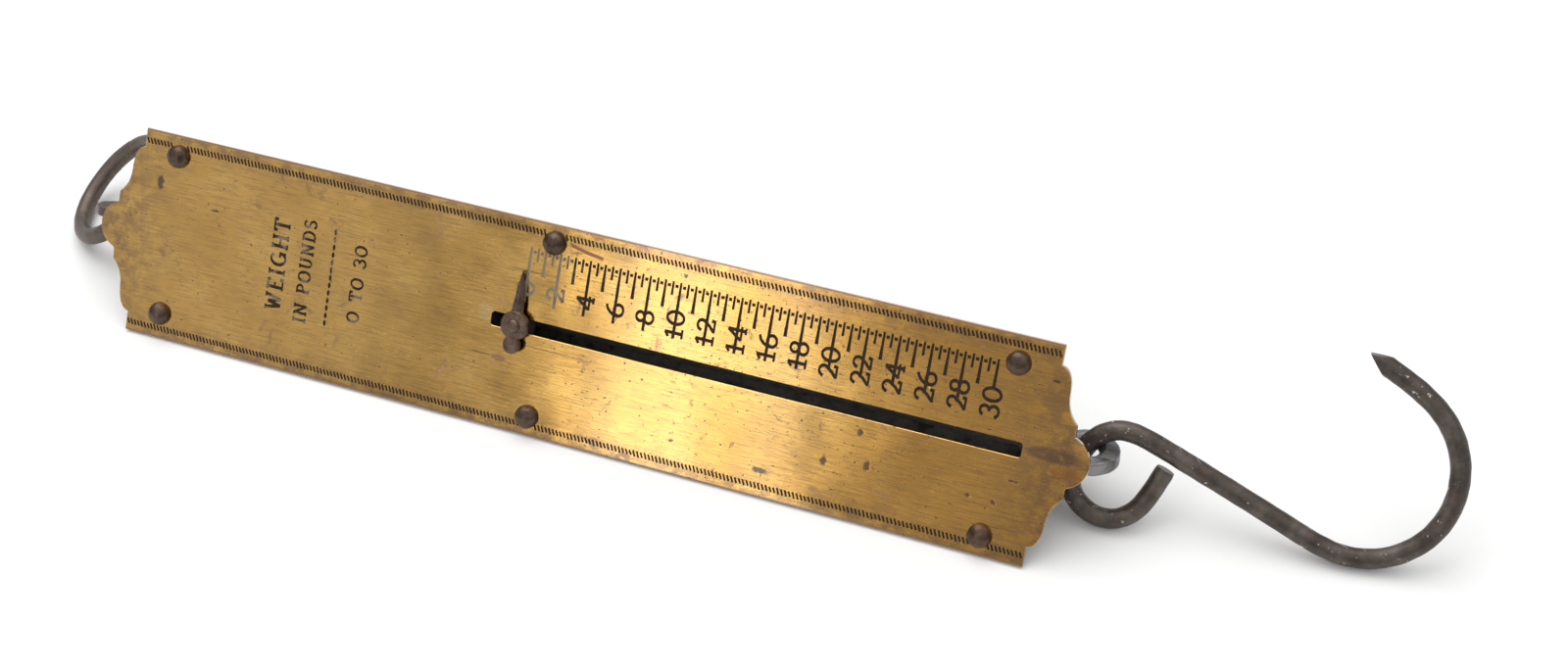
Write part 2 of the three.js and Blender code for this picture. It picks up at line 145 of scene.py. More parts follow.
# Meshes
def finished(name, bm, materials, crisp=35):
    """An object from a bmesh in the plate's frame; edges sharper than crisp degrees stay crisp."""
    mesh = bpy.data.meshes.new(name)
    bmesh.ops.recalc_face_normals(bm, faces=bm.faces)
    bm.to_mesh(mesh)
    bm.free()
    mesh.transform(PLATE_TO_ROW)
    for material in materials:
        mesh.materials.append(material)
    mesh.shade_smooth()
    mesh.set_sharp_from_angle(angle=math.radians(crisp))
    obj = bpy.data.objects.new(name, mesh)
    bpy.context.scene.collection.objects.link(obj)
    return obj


def settle(obj, body, slot, *stands_for):
    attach(obj, body)
    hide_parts(*stands_for)


def full_turn(steps):
    """Angles evenly round a circle."""
    return [2 * math.pi * i / steps for i in range(steps)]


def bridge(bm, rows):
    """Quads between each closed row of vertices and the next."""
    for lower, upper in zip(rows, rows[1:]):
        for i in range(len(lower)):
            j = (i + 1) % len(lower)
            bm.faces.new((lower[i], lower[j], upper[j], upper[i]))


def lathe(bm, profile, place, segments=32):
    """A solid of revolution about z from (radius, z) pairs; a radius of 0 at either end closes it."""
    rows = []
    for radius, z in profile:
        if radius == 0:
            rows.append([bm.verts.new(place @ Vector((0, 0, z)))])
            continue
        spots = [Vector((radius * math.cos(a), radius * math.sin(a), z)) for a in full_turn(segments)]
        rows.append([bm.verts.new(place @ spot) for spot in spots])
    for lower, upper in zip(rows, rows[1:]):
        for i in range(segments):
            j = (i + 1) % segments
            ring = [lower[i % len(lower)], lower[j % len(lower)]]
            ring += [upper[j % len(upper)], upper[i % len(upper)]]
            bm.faces.new(list(dict.fromkeys(ring)))


def dome(radius, base, rise, steps=8):
    """Profile of a domed head, from its edge to its crown."""
    turns = [i / steps * math.pi / 2 for i in range(steps)]
    return [(radius * math.cos(a), base + rise * math.sin(a)) for a in turns] + [(0, base + rise)]


def sweep(bm, line, radii, sides, closed=False):
    """A round wire along a line of points, without twist."""
    count = len(line)
    ahead = [line[(i + 1) % count] if closed or i < count - 1 else line[i] for i in range(count)]
    behind = [line[i - 1] if closed or i > 0 else line[i] for i in range(count)]
    tangents = [(a - b).normalized() for a, b in zip(ahead, behind)]
    side = tangents[0].orthogonal().normalized()
    rows = []
    for point, tangent, radius in zip(line, tangents, radii):
        side = (side - tangent * side.dot(tangent)).normalized()
        up = tangent.cross(side)
        spokes = [side * math.cos(a) + up * math.sin(a) for a in full_turn(sides)]
        rows.append([bm.verts.new(point + radius * spoke) for spoke in spokes])
    bridge(bm, rows)
    if closed:
        turned = min(range(sides), key=lambda k: (rows[0][k].co - rows[-1][0].co).length)
        bridge(bm, [rows[-1], rows[0][turned:] + rows[0][:turned]])
    else:
        bm.faces.new(rows[0])
        bm.faces.new(rows[-1])


def smooth_line(points, per_span=8, passes=6):
    """Catmull-Rom through the points, then relaxed so that its curvature changes evenly."""
    padded = [2 * points[0] - points[1]] + points + [2 * points[-1] - points[-2]]
    line = []
    for a, b, c, d in zip(padded, padded[1:], padded[2:], padded[3:]):
        for i in range(per_span):
            t = i / per_span
            line.append(0.5 * (2 * b + (c - a) * t + (2 * a - 5 * b + 4 * c - d) * t * t
                               + (3 * b - a - 3 * c + d) * t ** 3))
    line.append(points[-1])
    for _ in range(passes * per_span):
        inner = [(a + 2 * b + c) / 4 for a, b, c in zip(line, line[1:], line[2:])]
        line = [line[0]] + inner + [line[-1]]
    return line


def roughen(bm, depth, size):
    """Sinks every vertex a little along its normal, as forging and rust leave a surface."""
    bm.normal_update()
    for vertex in bm.verts:
        vertex.co += vertex.normal * depth * (noise.noise(vertex.co / size) - 0.8)


def blended(name, bm, voxel, passes):
    """The union of the closed shells in a bmesh, with soft joins, as a new bmesh."""
    mesh = bpy.data.meshes.new(name)
    bmesh.ops.recalc_face_normals(bm, faces=bm.faces)
    bm.to_mesh(mesh)
    bm.free()
    obj = bpy.data.objects.new(name, mesh)
    bpy.context.scene.collection.objects.link(obj)
    remesh = obj.modifiers.new("union", "REMESH")
    remesh.mode = "VOXEL"
    remesh.voxel_size = voxel
    smooth = obj.modifiers.new("soften", "SMOOTH")
    smooth.iterations = passes
    result = bmesh.new()
    result.from_object(obj, bpy.context.evaluated_depsgraph_get())
    bpy.data.objects.remove(obj)
    bpy.data.meshes.remove(mesh)
    return result


def on_axis(x):
    """Places a shape made about z so that it runs along the draw axis from x."""
    return Matrix.Translation((x, MID_Y, AXIS_Z)) @ Matrix.Rotation(math.pi / 2, 4, "Y")


# Materials
class Shader:
    """A node material, one call per node. Its place is in millimetres in the plate's frame."""

    def __init__(self, name):
        self.material = bpy.data.materials.new(name)
        self.material.use_nodes = True
        self.tree = self.material.node_tree
        self.bsdf = self.tree.nodes["Principled BSDF"]
        self.place = self.plate_place()

    def add(self, kind, inputs, **settings):
        node = self.tree.nodes.new(kind)
        for key, value in settings.items():
            setattr(node, key, value)
        for key, value in inputs.items():
            self.feed(node.inputs[key], value)
        return node

    def feed(self, socket, value):
        if isinstance(value, bpy.types.NodeSocket):
            self.tree.links.new(value, socket)
        else:
            socket.default_value = value

    def plate_place(self):
        to_plate = Matrix.Rotation(-ROLL, 4, "X") @ (PLATE_ORIGIN * -1000)
        source = self.add("ShaderNodeTexCoord", {})
        return self.add("ShaderNodeMapping", {
            "Vector": source.outputs["Object"], "Location": to_plate,
            "Rotation": (-ROLL, 0, 0), "Scale": (1000, 1000, 1000),
        }).outputs[0]

    def stretched(self, scale):
        """The place scaled along each axis, for grain and scratches."""
        return self.add("ShaderNodeMapping", {"Vector": self.place, "Scale": scale}).outputs[0]

    def noise(self, scale, detail=3.0, roughness=0.5, vector=None, distortion=0.0):
        return self.add("ShaderNodeTexNoise", {
            "Vector": vector or self.place, "Scale": scale, "Detail": detail,
            "Roughness": roughness, "Distortion": distortion,
        }).outputs[0]

    def span(self, value, low, high):
        """0 below low, 1 above high and smooth between; low above high turns it round."""
        return self.add("ShaderNodeMapRange", {
            "Value": value, "From Min": low, "From Max": high,
        }, interpolation_type="SMOOTHSTEP").outputs[0]

    def maths(self, operation, a, b=0.0):
        return self.add("ShaderNodeMath", {0: a, 1: b}, operation=operation).outputs[0]

    def times(self, a, b):
        return self.maths("MULTIPLY", a, b)

    def plus(self, a, b):
        return self.maths("ADD", a, b)

    def minus(self, a, b):
        return self.maths("SUBTRACT", a, b)

    def most(self, a, b):
        return self.maths("MAXIMUM", a, b)

    def axis(self, name):
        return self.add("ShaderNodeSeparateXYZ", {0: self.place}).outputs[name]

    def patch(self, x, y, centre, size):
        """1 in the middle of a soft ellipse on the plate, 0 outside it."""
        across = self.maths("DIVIDE", self.minus(x, centre[0]), size[0])
        up = self.maths("DIVIDE", self.minus(y, centre[1]), size[1])
        reach = self.plus(self.times(across, across), self.times(up, up))
        return self.span(reach, 1.4, 0.4)

    def ramp(self, value, *stops):
        node = self.add("ShaderNodeValToRGB", {0: value})
        elements = node.color_ramp.elements
        while len(elements) < len(stops):
            elements.new(1.0)
        for element, (position, colour) in zip(elements, stops):
            element.position = position
            element.color = (*colour, 1)
        return node.outputs[0]

    def mix(self, factor, a, b):
        """b laid over a, each a colour or a socket."""
        node = self.add("ShaderNodeMix", {0: factor}, data_type="RGBA")
        for socket, value in ((node.inputs[6], a), (node.inputs[7], b)):
            self.feed(socket, value if isinstance(value, bpy.types.NodeSocket) else (*value, 1))
        return node.outputs[2]

    def bump(self, height, distance, after=None):
        inputs = {"Height": height, "Distance": distance}
        if after:
            inputs["Normal"] = after
        return self.add("ShaderNodeBump", inputs).outputs[0]

    def done(self, colour, metallic, roughness, normal):
        self.feed(self.bsdf.inputs["Base Color"], colour)
        self.feed(self.bsdf.inputs["Metallic"], metallic)
        self.feed(self.bsdf.inputs["Roughness"], roughness)
        self.feed(self.bsdf.inputs["Normal"], normal)
        return self.material


def plate_brass():
    """Brushed brass gone uneven: cloudy tones, purple-brown stains, dings, scratches, dark edges."""
    s = Shader("plate_brass")
    x, y = s.axis("X"), s.axis("Y")
    cloud = s.noise(0.05, 4, 0.55)
    tones = ((0.3, (0.57, 0.315, 0.062)), (0.52, (0.68, 0.395, 0.086)), (0.72, (0.76, 0.470, 0.125)))
    colour = s.ramp(cloud, *tones)
    colour = s.mix(s.times(s.span(x, 185, 245), 0.8), colour, (0.66, 0.325, 0.046))
    # A pale patch at the slot's left end: partly worn brass, partly a painted highlight
    colour = s.mix(s.times(s.patch(x, y, (108, 30), (2.4, 2.6)), 0.35), colour, (0.85, 0.66, 0.34))
    # Fine grain along the plate, and a mottle of small dull patches
    grain = s.noise(1, 5, 0.65, s.stretched((0.10, 3.4, 3.4)))
    colour = s.mix(s.times(s.span(grain, 0.44, 0.68), 0.60), colour, (0.27, 0.140, 0.038))
    mottle = s.noise(1, 6, 0.7, s.stretched((0.30, 0.70, 0.70)))
    colour = s.mix(s.times(s.span(mottle, 0.50, 0.68), 0.40), colour, (0.37, 0.205, 0.085))
    # Edges and ends
    from_middle = s.maths("ABSOLUTE", s.minus(y, MID_Y))
    edge_y = s.span(from_middle, 21, 28.5)
    edge_x = s.span(s.maths("ABSOLUTE", s.minus(x, PLATE["length"] / 2)), 112, 141)
    edge = s.times(s.most(edge_y, edge_x), s.span(s.noise(0.22, 6, 0.7), 0.38, 0.60))
    side = s.most(s.span(s.axis("Z"), -0.12, -0.4), s.span(from_middle, 27.7, 28.5))
    colour = s.mix(s.most(s.times(edge, 0.75), side), colour, (0.24, 0.130, 0.060))
    # Stains, pepper specks, and small dings that lie along the grain
    stain = s.span(s.noise(0.13, 7, 0.72, distortion=0.8), 0.575, 0.67)
    stain = s.most(s.times(stain, 0.7), s.patch(x, y, (113.4, 18.7), (2.4, 1.1)))
    colour = s.mix(s.times(stain, 0.85), colour, (0.22, 0.110, 0.070))
    where = s.most(s.span(s.noise(0.05, 3), 0.46, 0.62), s.span(x, 175, 215))
    ding = s.times(s.span(s.noise(1, 5, 0.65, s.stretched((0.36, 1.1, 1.1))), 0.625, 0.66), where)
    marked = s.most(ding, s.span(s.noise(0.95, 3, 0.5), 0.665, 0.695))
    wobble = s.times(s.minus(s.noise(0.9, 3), 0.5), 1.6)
    for centre, size in DINGS:
        spot = s.patch(s.plus(x, wobble), s.minus(y, wobble), centre, size)
        marked = s.most(marked, spot)
    colour = s.mix(s.times(marked, 0.88), colour, (0.070, 0.036, 0.024))
    # Long scratches
    line = s.minus(s.noise(1, 2, 0.5, s.stretched((0.030, 1.0, 1.0))), 0.5)
    scratch = s.span(s.maths("ABSOLUTE", line), 0.0035, 0.0005)
    scratch = s.times(scratch, s.span(s.noise(0.09, 2), 0.52, 0.60))
    shaken = s.plus(y, s.times(wobble, 0.2))
    for centre, size in SCRAPES:
        scratch = s.most(scratch, s.patch(x, shaken, centre, size))
    colour = s.mix(s.times(scratch, 0.8), colour, (0.13, 0.07, 0.035))
    # A smudge where the rod comes out, and a red-brown run of old varnish beside the middle rivet
    smudge = s.times(s.patch(x, y, (263, 29.4), (8, 1.9)), s.span(s.noise(0.25, 4), 0.20, 0.44))
    colour = s.mix(s.times(smudge, 0.85), colour, (0.125, 0.062, 0.032))
    colour = s.mix(s.times(s.patch(x, y, (267, 25.6), (4, 1.8)), 0.6), colour, (0.46, 0.165, 0.030))
    along = s.times(s.minus(x, 128.6), 0.1)
    sag = s.times(s.maths("POWER", along, 0.55), -2.35)
    off = s.maths("ABSOLUTE", s.minus(s.minus(y, 53.4), sag))
    length = s.times(s.span(x, 128.7, 129.2), s.span(x, 138.9, 138.3))
    run = s.times(s.span(off, 0.58, 0.34), length)
    colour = s.mix(s.times(run, 0.85), colour, (0.20, 0.055, 0.040))
    dull = s.plus(s.most(stain, marked), s.most(smudge, run))
    rough = s.plus(s.times(cloud, 0.12), s.times(dull, 0.16))
    waves = s.bump(s.noise(0.028, 2), 0.00035)
    fine = s.bump(grain, 0.000008, waves)
    dented = s.bump(s.minus(1.0, marked), 0.00002, fine)
    s.feed(s.bsdf.inputs["Coat Weight"], 1.0)
    s.feed(s.bsdf.inputs["Coat Roughness"], 0.1)
    s.feed(s.bsdf.inputs["Coat IOR"], 1.55)
    return s.done(colour, 1.0, s.plus(rough, 0.085), dented)


def mark_filler():
    """Dark wax and dirt in the stamped marks, mostly gone from those near zero."""
    s = Shader("mark_filler")
    x, y = s.axis("X"), s.axis("Y")
    near_zero = s.span(s.plus(x, s.times(s.noise(0.5, 2), 14)), 141, 132)
    scale_zone = s.times(s.span(y, 52, 50), s.span(y, 28, 32))
    gone = s.times(near_zero, s.times(s.span(x, 100, 104), scale_zone))
    legend_zone = s.times(s.span(x, 90, 80), s.patch(y, y, (MID_Y, MID_Y), (24, 24)))
    worn = s.times(s.span(s.noise(0.30, 4), 0.48, 0.60), legend_zone)
    dirt = s.ramp(s.noise(1.6, 4), (0.3, (0.018, 0.011, 0.007)), (0.7, (0.050, 0.030, 0.016)))
    colour = s.mix(s.most(gone, s.times(worn, 0.7)), dirt, (0.27, 0.22, 0.165))
    s.feed(s.bsdf.inputs["Specular IOR Level"], 0.2)
    return s.done(colour, 0.0, 0.75, s.bump(s.noise(2.2, 3), 0.00003))


def browned_iron(name, tone, rust):
    """Iron with a brown skin: rubbed lighter in places, with a little rust."""
    s = Shader(name)
    skin = s.noise(0.35, 5, 0.6)
    dark, light = (tuple(channel * tone * k for channel in (0.080, 0.053, 0.038)) for k in (0.6, 1.5))
    colour = s.ramp(skin, (0.32, dark), (0.68, light))
    rusty = s.times(s.span(s.noise(0.22, 6, 0.7), 0.52, 0.66), rust)
    colour = s.mix(rusty, colour, (0.16, 0.062, 0.030))
    rubbed = s.span(s.noise(1.1, 5, 0.65), 0.62, 0.74)
    colour = s.mix(s.times(rubbed, 0.5), colour, (0.27, 0.23, 0.20))
    rough = s.plus(s.times(skin, 0.3), 0.12)
    pits = s.bump(s.noise(1.5, 6, 0.65), 0.00006)
    return s.done(colour, 0.8, rough, pits)


def wire_iron():
    """Hook and ring: grey-brown iron wire with pale worn flecks and scale."""
    s = Shader("wire_iron")
    skin = s.noise(0.16, 5, 0.6)
    tones = ((0.3, (0.046, 0.037, 0.031)), (0.52, (0.088, 0.072, 0.061)), (0.7, (0.145, 0.122, 0.104)))
    colour = s.ramp(skin, *tones)
    colour = s.mix(s.times(s.span(s.axis("X"), -2, -8), 0.4), colour, (0.19, 0.145, 0.115))
    rust = s.span(s.noise(0.28, 6, 0.7), 0.55, 0.68)
    colour = s.mix(s.times(rust, 0.45), colour, (0.14, 0.070, 0.042))
    zone = s.span(s.noise(0.10, 3), 0.45, 0.55)
    fleck = s.times(s.span(s.noise(0.62, 6, 0.70), 0.615, 0.65), zone)
    colour = s.mix(fleck, colour, (0.60, 0.54, 0.46))
    rough = s.plus(s.times(skin, 0.25), s.plus(s.times(fleck, 0.3), 0.30))
    grain = s.bump(s.noise(0.9, 6, 0.6), 0.00016)
    return s.done(colour, s.minus(0.72, s.times(fleck, 0.6)), rough, grain)


def forged_iron():
    """Draw rod, anchor and plugs: light grey inside the casing as painted light for what comes in through
    the slot, dark outside, lighter in patches on the draw eye.
    """
    s = Shader("forged_iron")
    x = s.axis("X")
    skin = s.noise(0.30, 5, 0.6)
    # Painted light: the grey base lightens the iron inside the casing to stand in for the light that comes
    # in through the slot; the eye and anchor outside are mixed back to dark iron
    colour = s.ramp(skin, (0.3, (0.22, 0.20, 0.18)), (0.7, (0.42, 0.40, 0.37)))
    eye = s.span(x, 254, 259)
    anchor = s.span(x, -1, -5)
    colour = s.mix(s.most(eye, anchor), colour, (0.075, 0.070, 0.068))
    # Lighter patches on the draw eye: partly rubbed wear, partly a painted highlight for its brightly lit
    # face
    worn = s.times(s.span(s.noise(0.22, 4, 0.5), 0.28, 0.50), eye)
    colour = s.mix(s.times(worn, 0.8), colour, (0.30, 0.295, 0.295))
    rust = s.times(s.span(s.noise(0.25, 5, 0.6), 0.36, 0.52), anchor)
    colour = s.mix(s.times(rust, 0.85), colour, (0.070, 0.026, 0.017))
    streak = s.noise(1, 5, 0.7, s.stretched((0.22, 2.6, 2.6)))
    colour = s.mix(s.times(s.span(streak, 0.55, 0.72), 0.35), colour, (0.23, 0.21, 0.19))
    metal = s.plus(s.times(eye, 0.5), 0.3)
    rough = s.plus(s.times(skin, 0.3), 0.25)
    return s.done(colour, metal, rough, s.bump(s.noise(0.8, 6, 0.6), 0.00018))


def japanned_sheet():
    """Casing and end plates: black japan over sheet iron, chipped and rusting on its edges."""
    s = Shader("japanned_sheet")
    colour = s.ramp(s.noise(0.10, 5, 0.6), (0.3, (0.014, 0.012, 0.011)), (0.7, (0.036, 0.030, 0.026)))
    chip = s.span(s.noise(0.16, 7, 0.72), 0.585, 0.62)
    under = s.ramp(s.noise(0.7, 4), (0.35, (0.09, 0.042, 0.024)), (0.65, (0.17, 0.13, 0.10)))
    colour = s.mix(chip, colour, under)
    dull = s.plus(s.times(s.noise(0.5), 0.2), s.times(chip, 0.3))
    layer = s.bump(s.minus(1.0, chip), 0.00005)
    waves = s.bump(s.noise(0.07, 3), 0.0006, layer)
    return s.done(colour, s.times(chip, 0.7), s.plus(dull, 0.26), waves)


def drawn_steel(name, dark, light, roughness):
    """Plain steel or brass parts inside: dull, oily, with fine turning marks."""
    s = Shader(name)
    tone = s.noise(0.4, 5, 0.6)
    colour = s.ramp(tone, (0.3, dark), (0.7, light))
    oil = s.span(s.noise(0.2, 4, 0.6), 0.52, 0.66)
    colour = s.mix(s.times(oil, 0.6), colour, (0.05, 0.038, 0.028))
    rings = s.noise(1, 3, 0.5, s.stretched((6, 0.5, 0.5)))
    rough = s.plus(s.times(tone, 0.25), roughness)
    return s.done(colour, 0.95, rough, s.bump(rings, 0.00002))


def studio_floor():
    """Plain white paper sweep with the faintest mottle."""
    s = Shader("studio_floor")
    tone = s.ramp(s.noise(0.02, 3), (0.3, (0.895, 0.893, 0.890)), (0.7, (0.91, 0.908, 0.905)))
    s.bsdf.inputs["Specular IOR Level"].default_value = 0.1
    return s.done(tone, 0.0, 0.9, s.bump(s.noise(0.3, 3), 0.00002))


BRASS = plate_brass()
FILLER = mark_filler()
RIVET_IRON = browned_iron("rivet_iron", 1.0, 0.4)
POINTER_IRON = browned_iron("pointer_iron", 1.3, 0.3)
WIRE = wire_iron()
FORGED = forged_iron()
JAPAN = japanned_sheet()
# Inside of the casing: bare sheet, coloured light grey as painted light for what comes in through the slot
BARE_SHEET_PAINTED_LIGHT = drawn_steel("bare_sheet_painted_light", (0.34, 0.32, 0.29), (0.55, 0.53, 0.50), 0.35)
SPRING_STEEL = drawn_steel("spring_steel", (0.07, 0.065, 0.062), (0.20, 0.19, 0.185), 0.25)
BRIGHT_STEEL = drawn_steel("bright_steel", (0.20, 0.19, 0.18), (0.42, 0.41, 0.40), 0.22)
BUSH_BRASS = drawn_steel("bush_brass", (0.28, 0.17, 0.06), (0.50, 0.33, 0.12), 0.26)


# Face plate: outlines
def bezier(a, b, c, d, steps=8):
    """Points of a cubic curve, without its last one."""
    points = []
    for i in range(steps):
        t = i / steps
        weights = ((1 - t) ** 3, 3 * t * (1 - t) ** 2, 3 * t * t * (1 - t), t ** 3)
        points.append(tuple(sum(w * p[k] for w, p in zip(weights, (a, b, c, d))) for k in (0, 1)))
    return points


def end_outline():
    """One scalloped end of the plate as (outwards, across) pairs, from its lower corner up."""
    lower = [(0, 0), *bezier((0, 5.2), (1.9, 5.3), (3.2, 7.6), (3.3, 11))]
    lower += bezier((3.3, 11), (3.4, 14.5), (3.9, 16.6), (6.5, 19))
    lower.append((6.5, 19))
    steps = 20
    turns = [(2 * i / steps - 1) * LOBE["half"] for i in range(steps + 1)]
    radius = LOBE["radius"]
    lobe = [(LOBE["out"] + radius * math.cos(a), MID_Y + radius * math.sin(a)) for a in turns]
    upper = [(out, PLATE["width"] - across) for out, across in reversed(lower)]
    return lower + lobe + upper


def plate_outline():
    end = end_outline()
    right = [(PLATE["length"] + out, across) for out, across in end]
    left = [(-out, PLATE["width"] - across) for out, across in end]
    return right + left


def circle(x, y, radius, steps=24):
    return [(x + radius * math.cos(a), y + radius * math.sin(a)) for a in full_turn(steps)]


def slot_outline():
    half, corner = SLOT["width"] / 2, SLOT["corner"]
    points = []
    for x, y, start in ((SLOT["to"] - corner, SLOT["y"] + half - corner, 0),
                        (SLOT["from"] + corner, SLOT["y"] + half - corner, 90),
                        (SLOT["from"] + corner, SLOT["y"] - half + corner, 180),
                        (SLOT["to"] - corner, SLOT["y"] - half + corner, 270)):
        for i in range(5):
            angle = math.radians(start + 22.5 * i)
            points.append((x + corner * math.cos(angle), y + corner * math.sin(angle)))
    return points


def inset(loop, distance):
    """A closed counter-clockwise loop moved inwards; a negative distance moves it outwards."""
    moved = []
    for before, here, after in zip(loop[-1:] + loop[:-1], loop, loop[1:] + loop[:1]):
        along = Vector((after[0] - before[0], after[1] - before[1])).normalized()
        moved.append((here[0] - along.y * distance, here[1] + along.x * distance))
    return moved


# Face plate: marks, each a path, a width at every point of it, and how it is cut
def hatching(rng):
    """The rolled border: short slanted strokes along both long edges."""
    pitch, lean = 25.4 / BORDER["per_inch"], BORDER["lean"]
    marks = []
    for start_y, end_y, height in BORDER["rows"]:
        for i in range(int(PLATE["length"] / pitch)):
            x = BORDER["first"] + i * pitch
            half = height / 2 + rng.uniform(-0.12, 0.1)
            y = start_y + (end_y - start_y) * x / PLATE["length"] + rng.uniform(-0.05, 0.05)
            if all(math.hypot(x - rx, y - ry) > RIVET["head"] for rx, ry in RIVETS):
                marks.append(([(x - lean, y + half), (x + lean, y - half)], [0.42, 0.46], ROLLED))
    return marks


def graduations():
    """A tick at every half pound, longer at whole and longest at even pounds, with dots between."""
    marks = []
    for half_pound in range(2 * POUNDS + 1):
        x = ZERO_X + half_pound * POUND / 2
        if half_pound % 2:
            marks.append(([(x, TICK_TOP), (x, TICKS["half"])], [0.36, 0.46], STAMP))
        elif half_pound % 4:
            marks.append(([(x, TICK_TOP), (x, 46.5), (x, TICKS["odd"])], [0.36, 0.5, 0.75], STAMP))
        else:
            pounds = half_pound // 2
            low = TICKS["even" if pounds < 20 else "over_20" if pounds < POUNDS else "last"]
            marks.append(([(x, TICK_TOP), (x, 44), (x, low)], [0.36, 0.62, 0.6], STAMP))
        if half_pound < 2 * POUNDS:
            marks.append(([(x + POUND / 4, y) for y in TICKS["dots"]], [0.66, 0.66], STAMP))
    return marks


def arc(x, y, across, up, start, end, steps=14):
    turns = [math.radians(start + (end - start) * i / steps) for i in range(steps + 1)]
    return [(x + across * math.cos(a), y + up * math.sin(a)) for a in turns]


def upright(x, start=0.05, end=0.95):
    return [(x, start), (x, end)]


def level(y, start, end):
    return [(start, y), (end, y)]


def oval(x, y, across, up):
    """Two half turns that overlap a little where they meet."""
    return [arc(x, y, across, up, 90, 272), arc(x, y, across, up, -90, 92)]


# Strokes of each character in a box 1 high, with its width
GLYPHS = {
    "0": (0.74, oval(0.37, 0.5, 0.31, 0.44)),
    "1": (0.56, [upright(0.28, 0.06, 0.95), level(0.05, 0.06, 0.5), [(0.28, 0.93), (0.06, 0.78)]]),
    "2": (0.68, [arc(0.33, 0.72, 0.25, 0.23, 175, -20), [(0.56, 0.64), (0.36, 0.34), (0.08, 0.08)],
                 level(0.07, 0.06, 0.6), [(0.6, 0.04), (0.63, 0.22)]]),
    "3": (0.66, [arc(0.32, 0.73, 0.23, 0.22, 160, -88), arc(0.32, 0.28, 0.27, 0.24, 88, -160)]),
    "4": (0.72, [upright(0.52, 0.05, 0.96), [(0.50, 0.95), (0.04, 0.28)], level(0.27, 0.02, 0.70),
                 level(0.05, 0.38, 0.66)]),
    "6": (0.70, [*oval(0.36, 0.29, 0.28, 0.25), arc(0.60, 0.34, 0.52, 0.6, 95, 182)]),
    "8": (0.68, [*oval(0.34, 0.73, 0.23, 0.21), *oval(0.34, 0.28, 0.28, 0.24)]),
    "D": (0.74, [upright(0.16), level(0.05, 0.04, 0.36), level(0.95, 0.04, 0.36),
                 arc(0.34, 0.5, 0.34, 0.45, 90, -90)]),
    "E": (0.66, [upright(0.16), level(0.05, 0.04, 0.58), level(0.95, 0.04, 0.56),
                 level(0.52, 0.16, 0.42), [(0.57, 0.03), (0.60, 0.2)], upright(0.55, 0.97, 0.82)]),
    "G": (0.78, [arc(0.40, 0.5, 0.33, 0.44, 50, 330), upright(0.68, 0.08, 0.42),
                 level(0.42, 0.5, 0.78)]),
    "H": (0.80, [upright(0.16), upright(0.64), level(0.5, 0.16, 0.64), level(0.05, 0.04, 0.28),
                 level(0.95, 0.04, 0.28), level(0.05, 0.52, 0.76), level(0.95, 0.52, 0.76)]),
    "I": (0.36, [upright(0.18), level(0.05, 0.04, 0.32), level(0.95, 0.04, 0.32)]),
    "N": (0.82, [upright(0.16), upright(0.66), [(0.16, 0.93), (0.66, 0.07)], level(0.05, 0.04, 0.28),
                 level(0.95, 0.04, 0.2), level(0.95, 0.54, 0.78)]),
    "O": (0.78, oval(0.39, 0.5, 0.33, 0.45)),
    "P": (0.66, [upright(0.16), level(0.05, 0.04, 0.3), level(0.95, 0.04, 0.34),
                 arc(0.32, 0.72, 0.26, 0.23, 90, -90), level(0.49, 0.16, 0.34)]),
    "S": (0.64, [arc(0.32, 0.73, 0.22, 0.22, 30, 225), arc(0.32, 0.28, 0.24, 0.23, 75, -150),
                 [(0.17, 0.57), (0.38, 0.50)]]),
    "T": (0.72, [upright(0.36), level(0.95, 0.06, 0.66), level(0.05, 0.24, 0.48),
                 upright(0.07, 0.97, 0.78), upright(0.65, 0.97, 0.78)]),
    "U": (0.80, [upright(0.17, 0.4, 0.95), arc(0.40, 0.4, 0.23, 0.34, 180, 360),
                 upright(0.63, 0.4, 0.95), level(0.95, 0.05, 0.29), level(0.95, 0.51, 0.75)]),
    "W": (0.98, [[(0.12, 0.95), (0.32, 0.06)], [(0.32, 0.06), (0.49, 0.8)], [(0.49, 0.8), (0.66, 0.06)],
                 [(0.66, 0.06), (0.86, 0.95)], level(0.95, 0.02, 0.24), level(0.95, 0.75, 0.96)]),
    " ": (0.40, []),
}


def lettering(text, x, y, height, thick, thin, gap=0.1):
    """Characters that read along +y with their tops towards -x, centred on (x, y)."""
    total = sum(GLYPHS[c][0] for c in text) + gap * (len(text) - 1)
    marks = []
    start = -total / 2
    for character in text:
        width, paths = GLYPHS[character]
        for path in paths:
            placed = [(x + (0.5 - v) * height, y + (start + u) * height) for u, v in path]
            widths = []
            for i in range(len(placed)):
                a, b = placed[max(i - 1, 0)], placed[min(i + 1, len(placed) - 1)]
                upward = abs(b[0] - a[0]) / math.dist(a, b)
                widths.append(thin + (thick - thin) * upward)
            marks.append((placed, widths, STAMP))
        start += width + gap
    return marks


def numerals():
    marks = []
    for pounds in range(0, POUNDS + 1, 2):
        x = ZERO_X + pounds * POUND
        marks += lettering(str(pounds), x, DIGIT["y"], DIGIT["height"], DIGIT["thick"], DIGIT["thin"])
    return marks


def legend():
    """Plain stamped words in place of the maker's, with a row of lozenges between them."""
    marks = lettering("WEIGHT", 45, MID_Y, 5, 0.7, 0.34, 0.16)
    marks += lettering("IN POUNDS", 53.5, MID_Y, 3.9, 0.5, 0.28, 0.16)
    marks += lettering("0 TO 30", 69.5, MID_Y, 3.9, 0.5, 0.28, 0.16)
    for i in range(-6, 7):
        y = MID_Y + 2.1 * i
        marks.append(([(61.3, y - 0.7), (61.3, y), (61.3, y + 0.7)], [0.15, 0.75, 0.15], STAMP))
    return marks


